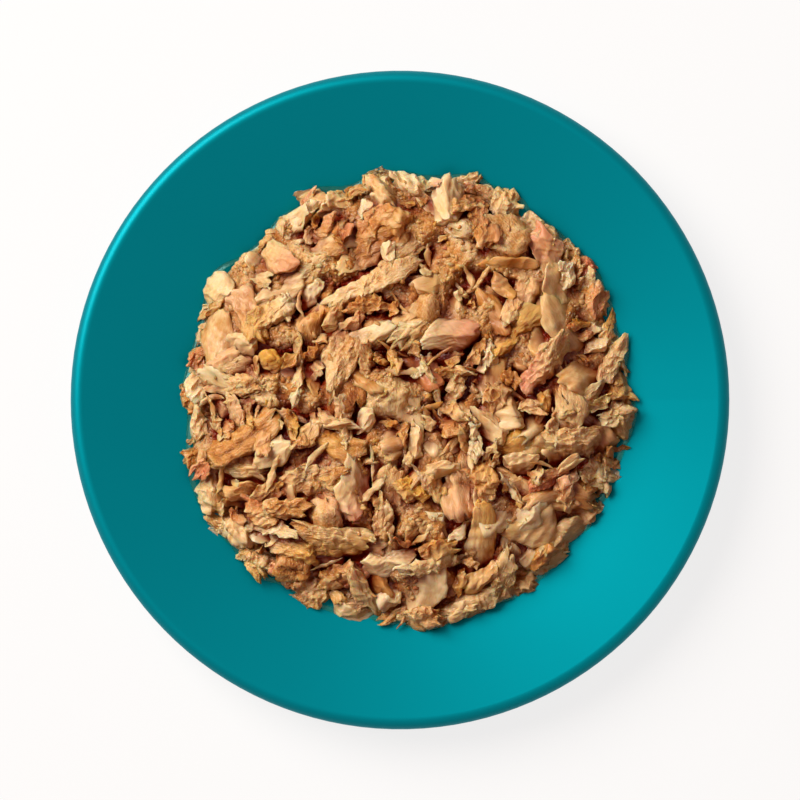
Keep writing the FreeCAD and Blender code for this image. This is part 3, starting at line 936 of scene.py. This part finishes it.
corePiece = addMesh("heap_core", corePoints, coreFaces)
clearance = corePoints[:, 2] - heightAt(plateTop, corePoints[:, 0], corePoints[:, 1])
onTop = (np.arange(len(corePoints)) < coreTop) & (clearance > field["thinnest"])
tone, toneSwing = core["tone"]
addAttribute(corePiece.data, "rest", corePoints, "FLOAT_VECTOR")
addAttribute(corePiece.data, "grain", onTop * 1.0)
patches = ripple(np.random.default_rng(3), corePoints, core["patch"], 9)[:, 0]
addAttribute(corePiece.data, "tone", tone + toneSwing * patches)
# painted shade, by how deep each point lies below the heap's skin
addAttribute(corePiece.data, "gapShade", gapShadeAt(corePoints))
applyTree(corePiece, roughen, {
    "Grain Size": core["grainSize"], "Grain Depth": core["grainDepth"] * mm,
    "Fibre Width": 1.0, "Fibre Depth": 0.0, "Material": meatMaterial})
print("made heap_core", len(corePiece.data.polygons), "faces")

# Gravy: a thin clear film that has run out round the food's foot and climbs its edge

film = {
    "inset": 1.2,           # mm from its inner edge out to the food's foot
    "run": 0.1,             # mm that it runs out past the foot, and how much that swings
    "wander": 0.15,
    "waves": 9.0,           # mm from one tongue of gravy to the next
    "rise": 0.8,            # mm up the food's edge
    "thickness": 0.04,      # mm
    "gap": 0.02,            # mm from the plate
    "least": 0.5,           # mm of food over the plate that it gathers round
    "beyond": 4.0,          # mm outside the outline where food may lie
    "steps": 360, "rings": 8,
    "colour": "#fbf7ee",
    "gloss": "#a8eef0",
    "glossShare": 0.04,
    "roughness": 0.25,
}


def makeFilm(rng):
    covered = (ground > plateTop + film["least"]) & (toEdge > -film["beyond"])
    reach = np.array([gridReach[covered & (sector == k)].max() for k in range(outlineSteps)])
    reach = np.minimum(reach, 0.5 * (np.roll(reach, 1) + np.roll(reach, -1)))
    turn = np.arange(film["steps"]) / film["steps"] * 2 * math.pi
    stops = np.arange(outlineSteps + 1) * 2 * math.pi / outlineSteps
    foot = np.interp(turn, stops, np.append(reach, reach[0]))
    way = np.stack([np.cos(turn), np.sin(turn), 0 * turn], 1)
    run = film["run"] + film["wander"] * ripple(rng, 55 * way, film["waves"], 7)[:, 0]
    points, faces, rings = [], [], film["rings"]
    for ring in range(rings + 1):
        share = ring / rings
        away = foot - film["inset"] + share * (film["inset"] + run)
        x, y = (heapMiddle[k] + away * way[:, k] for k in (0, 1))
        height = film["rise"] * (1 - share) ** 2 + film["thickness"] * (ring < rings)
        points.append(np.stack([x, y, heightAt(plateTop, x, y) + film["gap"] + height], 1))
    inner = points[0] - (0, 0, film["rise"] + film["thickness"])
    points = np.vstack(points + [inner])
    steps = film["steps"]
    for k in range(steps):
        n = (k + 1) % steps
        for ring in range(rings + 1):
            a, b = ring * steps, (ring + 1) % (rings + 2) * steps
            faces.append((a + k, b + k, b + n, a + n))
        faces.append(((rings + 1) * steps + k, k, n, (rings + 1) * steps + n))
    return points, faces


def clearGravy():
    # water and gelatine with a little fat: clear, hardly coloured, seen only by its gloss
    material = newMaterial("clearGravy")
    tree = material.node_tree
    clear = addNode(tree, "ShaderNodeBsdfTransparent", {"Color": linear(film["colour"])})
    gloss = addNode(tree, "ShaderNodeBsdfGlossy", {
        "Color": linear(film["gloss"]), "Roughness": film["roughness"]})
    both = addNode(tree, "ShaderNodeMixShader", {
        0: film["glossShare"], 1: clear.outputs[0], 2: gloss.outputs[0]})
    addNode(tree, "ShaderNodeOutputMaterial", {"Surface": both.outputs[0]})
    return material


filmPiece = addMesh("gravy_film", *makeFilm(np.random.default_rng(5)))
filmPiece.data.materials.append(clearGravy())
filmPiece.data.shade_smooth()
print("made gravy_film", len(filmPiece.data.polygons), "faces")

# Loose crumbs, dropped straight down onto what lies on top

looseCrumbs = {
    "tries": 10000,         # dropped, of which many slide off
    "half": 57.0,           # mm from the heap's middle out to where they are dropped
    "edge": 0.8,            # mm inside its outline where they stop
    "steepest": 0.5,        # how far up a face has to look to hold one
    "onPieces": 0.02,       # share of them that stays on pieces, where all stay on the core
    "patch": 12.0,          # mm from one crumbly place to the next
    "size": 0.4,            # mm, the radius of a crumb of size 1
    "sizes": (0.4, 1.2, 2.0),       # least size, what is added at the most, and how rare large ones are
    "shape": (1.9, 1.0, 0.6),
    "bumps": 1600.0,        # per metre
    "roughness": 0.8,       # mm
    "lean": 0.4,            # radians
    "tone": 0.5, "patchSwing": 0.1, "toneSpread": 0.09,
    "tinge": (-0.1, 0.4),   # mean and spread of blush and of fat
    "finer": 3,             # how much finer their pattern is than that of the pieces
}


def crumbTree():
    tree = newTree("looseCrumbs", {"Crumb Size": "Float", "Roughness": "Float", "Material": "Material"})
    inputs = addNode(tree, "NodeGroupInput").outputs
    size = addNode(tree, "GeometryNodeInputNamedAttribute", {"Name": "size"}, data_type="FLOAT")
    turn = addNode(tree, "GeometryNodeInputNamedAttribute", {"Name": "turn"}, data_type="FLOAT_VECTOR")
    crumb = addNode(tree, "GeometryNodeMeshIcoSphere", {"Radius": inputs["Crumb Size"], "Subdivisions": 1})
    flat = addNode(tree, "GeometryNodeTransform", {
        "Geometry": crumb.outputs[0], "Scale": looseCrumbs["shape"]})
    placed = addNode(tree, "GeometryNodeInstanceOnPoints", {
        "Points": inputs["Geometry"], "Instance": flat.outputs[0],
        "Rotation": turn.outputs[0], "Scale": size.outputs[0]})
    real = addNode(tree, "GeometryNodeRealizeInstances", {"Geometry": placed.outputs[0]})
    noise = addNode(tree, "ShaderNodeTexNoise", {"Scale": looseCrumbs["bumps"], "Detail": 1.0})
    swing = addNode(tree, "ShaderNodeVectorMath", {
        0: noise.outputs[1], 1: (0.5, 0.5, 0.5)}, operation="SUBTRACT")
    offset = addNode(tree, "ShaderNodeVectorMath", {
        0: swing.outputs[0], "Scale": inputs["Roughness"]}, operation="SCALE")
    moved = addNode(tree, "GeometryNodeSetPosition", {
        "Geometry": real.outputs[0], "Offset": offset.outputs[0]})
    return finishTree(tree, moved.outputs[0], inputs["Material"])


def dropCrumbs(rng):
    points, polygons, start = [], [], 0
    for piece in foodPieces + [corePiece]:
        mesh = piece.data
        values = np.empty(3 * len(mesh.vertices))
        mesh.vertices.foreach_get("co", values)
        points.append(values.reshape(-1, 3))
        coreStart = len(polygons)
        polygons += [[v + start for v in p.vertices] for p in mesh.polygons]
        start += len(mesh.vertices)
    tree = BVHTree.FromPolygons(np.vstack(points).tolist(), polygons)
    spots, sizes, turns, looks = [], [], [], []
    places = heapMiddle + rng.uniform(-looseCrumbs["half"], looseCrumbs["half"], (looseCrumbs["tries"], 2))
    swell = ripple(rng, np.hstack([places, 0 * places[:, :1]]), looseCrumbs["patch"], 9)[:, 0]
    least, added, rarity = looseCrumbs["sizes"]
    for (x, y), near in zip(places, swell):
        hit, normal, face = tree.ray_cast((x * mm, y * mm, field["rayStart"]), (0, 0, -1))[:3]
        inside = toEdge[cellOf(x), cellOf(y)] >= looseCrumbs["edge"]
        if not inside or hit is None or normal.z < looseCrumbs["steepest"]:
            continue
        if face < coreStart and rng.random() > looseCrumbs["onPieces"] * (1 + near):
            continue
        spots.append(np.array(hit) / mm)
        sizes.append(least + added * rng.random() ** rarity)
        turns.append((*rng.normal(0, looseCrumbs["lean"], 2), rng.uniform(0, 2 * math.pi)))
        tone = looseCrumbs["tone"] + looseCrumbs["patchSwing"] * near
        tone = np.clip(tone + rng.normal(0, looseCrumbs["toneSpread"]), 0, 1)
        blush, fat = np.maximum(rng.normal(*looseCrumbs["tinge"], 2), 0)
        looks.append((tone, blush, fat))
    return np.array(spots), np.array(sizes), np.array(turns), np.array(looks)


crumbSpots, crumbSizes, crumbTurns, crumbLooks = dropCrumbs(np.random.default_rng(7))
crumbPiece = addMesh("crumbs", crumbSpots, [])
addAttribute(crumbPiece.data, "size", crumbSizes)
addAttribute(crumbPiece.data, "turn", crumbTurns, "FLOAT_VECTOR")
for column, attribute in enumerate(("tone", "blush", "fat")):
    addAttribute(crumbPiece.data, attribute, crumbLooks[:, column])
addAttribute(crumbPiece.data, "rest", crumbSpots * looseCrumbs["finer"], "FLOAT_VECTOR")
# painted shade, by how deep each crumb lies below the heap's skin
addAttribute(crumbPiece.data, "gapShade", gapShadeAt(crumbSpots))
applyTree(crumbPiece, crumbTree(), {
    "Crumb Size": looseCrumbs["size"] * mm, "Roughness": looseCrumbs["roughness"] * mm,
    "Material": meatMaterial})
print("dropped", len(crumbSpots), "crumbs,", len(crumbPiece.data.polygons), "faces")

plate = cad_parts["plate"]
plate.data.materials.clear()
plate.data.materials.append(tealGlaze())

for piece in foodPieces + [corePiece, crumbPiece, filmPiece]:
    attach(piece, "root")
    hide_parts("food_heap")

# Studio: a pale floor, a soft lamp from the upper left, a weak one opposite, and a camera straight above

# Angles in degrees, azimuth counter-clockwise from the X axis; distances and sizes in metres; powers in watts
lamps = {
    "keyLamp": {"azimuth": 142.0, "elevation": 42.0, "distance": 1.6, "size": 1.2, "power": 38.8,
                "colour": "#fffaf2"},
    "fillLamp": {"azimuth": -40.0, "elevation": 35.0, "distance": 0.8, "size": 0.6, "power": 0.3,
                 "colour": "#ffcc9c"},
}
studio = {
    "air": "#ff8c54",
    "airStrength": 0.125,
    "floor": "#f4f4f4",
    "floorWhite": 0.82,         # share of plain white in what the camera sees of the floor
    "floorHalf": 3000,          # mm
    "lens": 150.0,              # mm
    "viewWidth": 0.1939,        # m across the view, at this height:
    "viewHeight": 0.0136,       # m over the floor
    "clipEnd": 20,              # m
}


def addLamp(name, azimuth, elevation, distance, size, power, colour):
    lamp = bpy.data.lights.new(name, "AREA")
    lamp.shape = "DISK"
    lamp.size = size
    lamp.energy = power
    lamp.color = linear(colour)[:3]
    holder = bpy.data.objects.new(name, lamp)
    flat = math.cos(math.radians(elevation))
    turn = math.radians(azimuth)
    holder.location = (distance * flat * math.cos(turn), distance * flat * math.sin(turn),
                       distance * math.sin(math.radians(elevation)))
    holder.rotation_euler = (math.pi / 2 - math.radians(elevation), 0, turn + math.pi / 2)
    bpy.context.scene.collection.objects.link(holder)


for name, lamp in lamps.items():
    addLamp(name, **lamp)


def seenWhite(tree, kind, lit, strength):
    # what the camera and clear or glossy things see of the surroundings
    path = addNode(tree, "ShaderNodeLightPath").outputs
    seen = path["Is Camera Ray"]
    for other in ("Is Glossy Ray", "Is Transmission Ray"):
        seen = addNode(tree, "ShaderNodeMath", {0: seen, 1: path[other]}, operation="MAXIMUM").outputs[0]
    white = addNode(tree, kind, {"Strength": 1.0})
    share = addNode(tree, "ShaderNodeMath", {0: seen, 1: strength}, operation="MULTIPLY")
    mixed = addNode(tree, "ShaderNodeMixShader", {0: share.outputs[0], 1: lit, 2: white.outputs[0]})
    return mixed.outputs[0]


world = bpy.data.worlds.new("studio")
world.use_nodes = True
world.node_tree.nodes.clear()
air = addNode(world.node_tree, "ShaderNodeBackground", {
    "Color": linear(studio["air"]), "Strength": studio["airStrength"]})
addNode(world.node_tree, "ShaderNodeOutputWorld", {
    "Surface": seenWhite(world.node_tree, "ShaderNodeBackground", air.outputs[0], 1.0)})
bpy.context.scene.world = world

floorMaterial = newMaterial("paleFloor")
paint = addNode(floorMaterial.node_tree, "ShaderNodeBsdfDiffuse", {"Color": linear(studio["floor"])})
addNode(floorMaterial.node_tree, "ShaderNodeOutputMaterial", {"Surface": seenWhite(
    floorMaterial.node_tree, "ShaderNodeEmission", paint.outputs[0], studio["floorWhite"])})
half = studio["floorHalf"]
corners = [(-half, -half, 0), (half, -half, 0), (half, half, 0), (-half, half, 0)]
floorPiece = addMesh("floor", corners, [(0, 1, 2, 3)])
floorPiece.data.materials.append(floorMaterial)

camera = bpy.data.cameras.new("camera")
camera.lens = studio["lens"]
camera.clip_end = studio["clipEnd"]
cameraHolder = bpy.data.objects.new("camera", camera)
distance = studio["viewWidth"] * studio["lens"] / camera.sensor_width
cameraHolder.location = (0, 0, distance + studio["viewHeight"])
bpy.context.scene.collection.objects.link(cameraHolder)
bpy.context.scene.camera = cameraHolder
bpy.context.scene.view_settings.view_transform = "Standard"

print("studio ready")
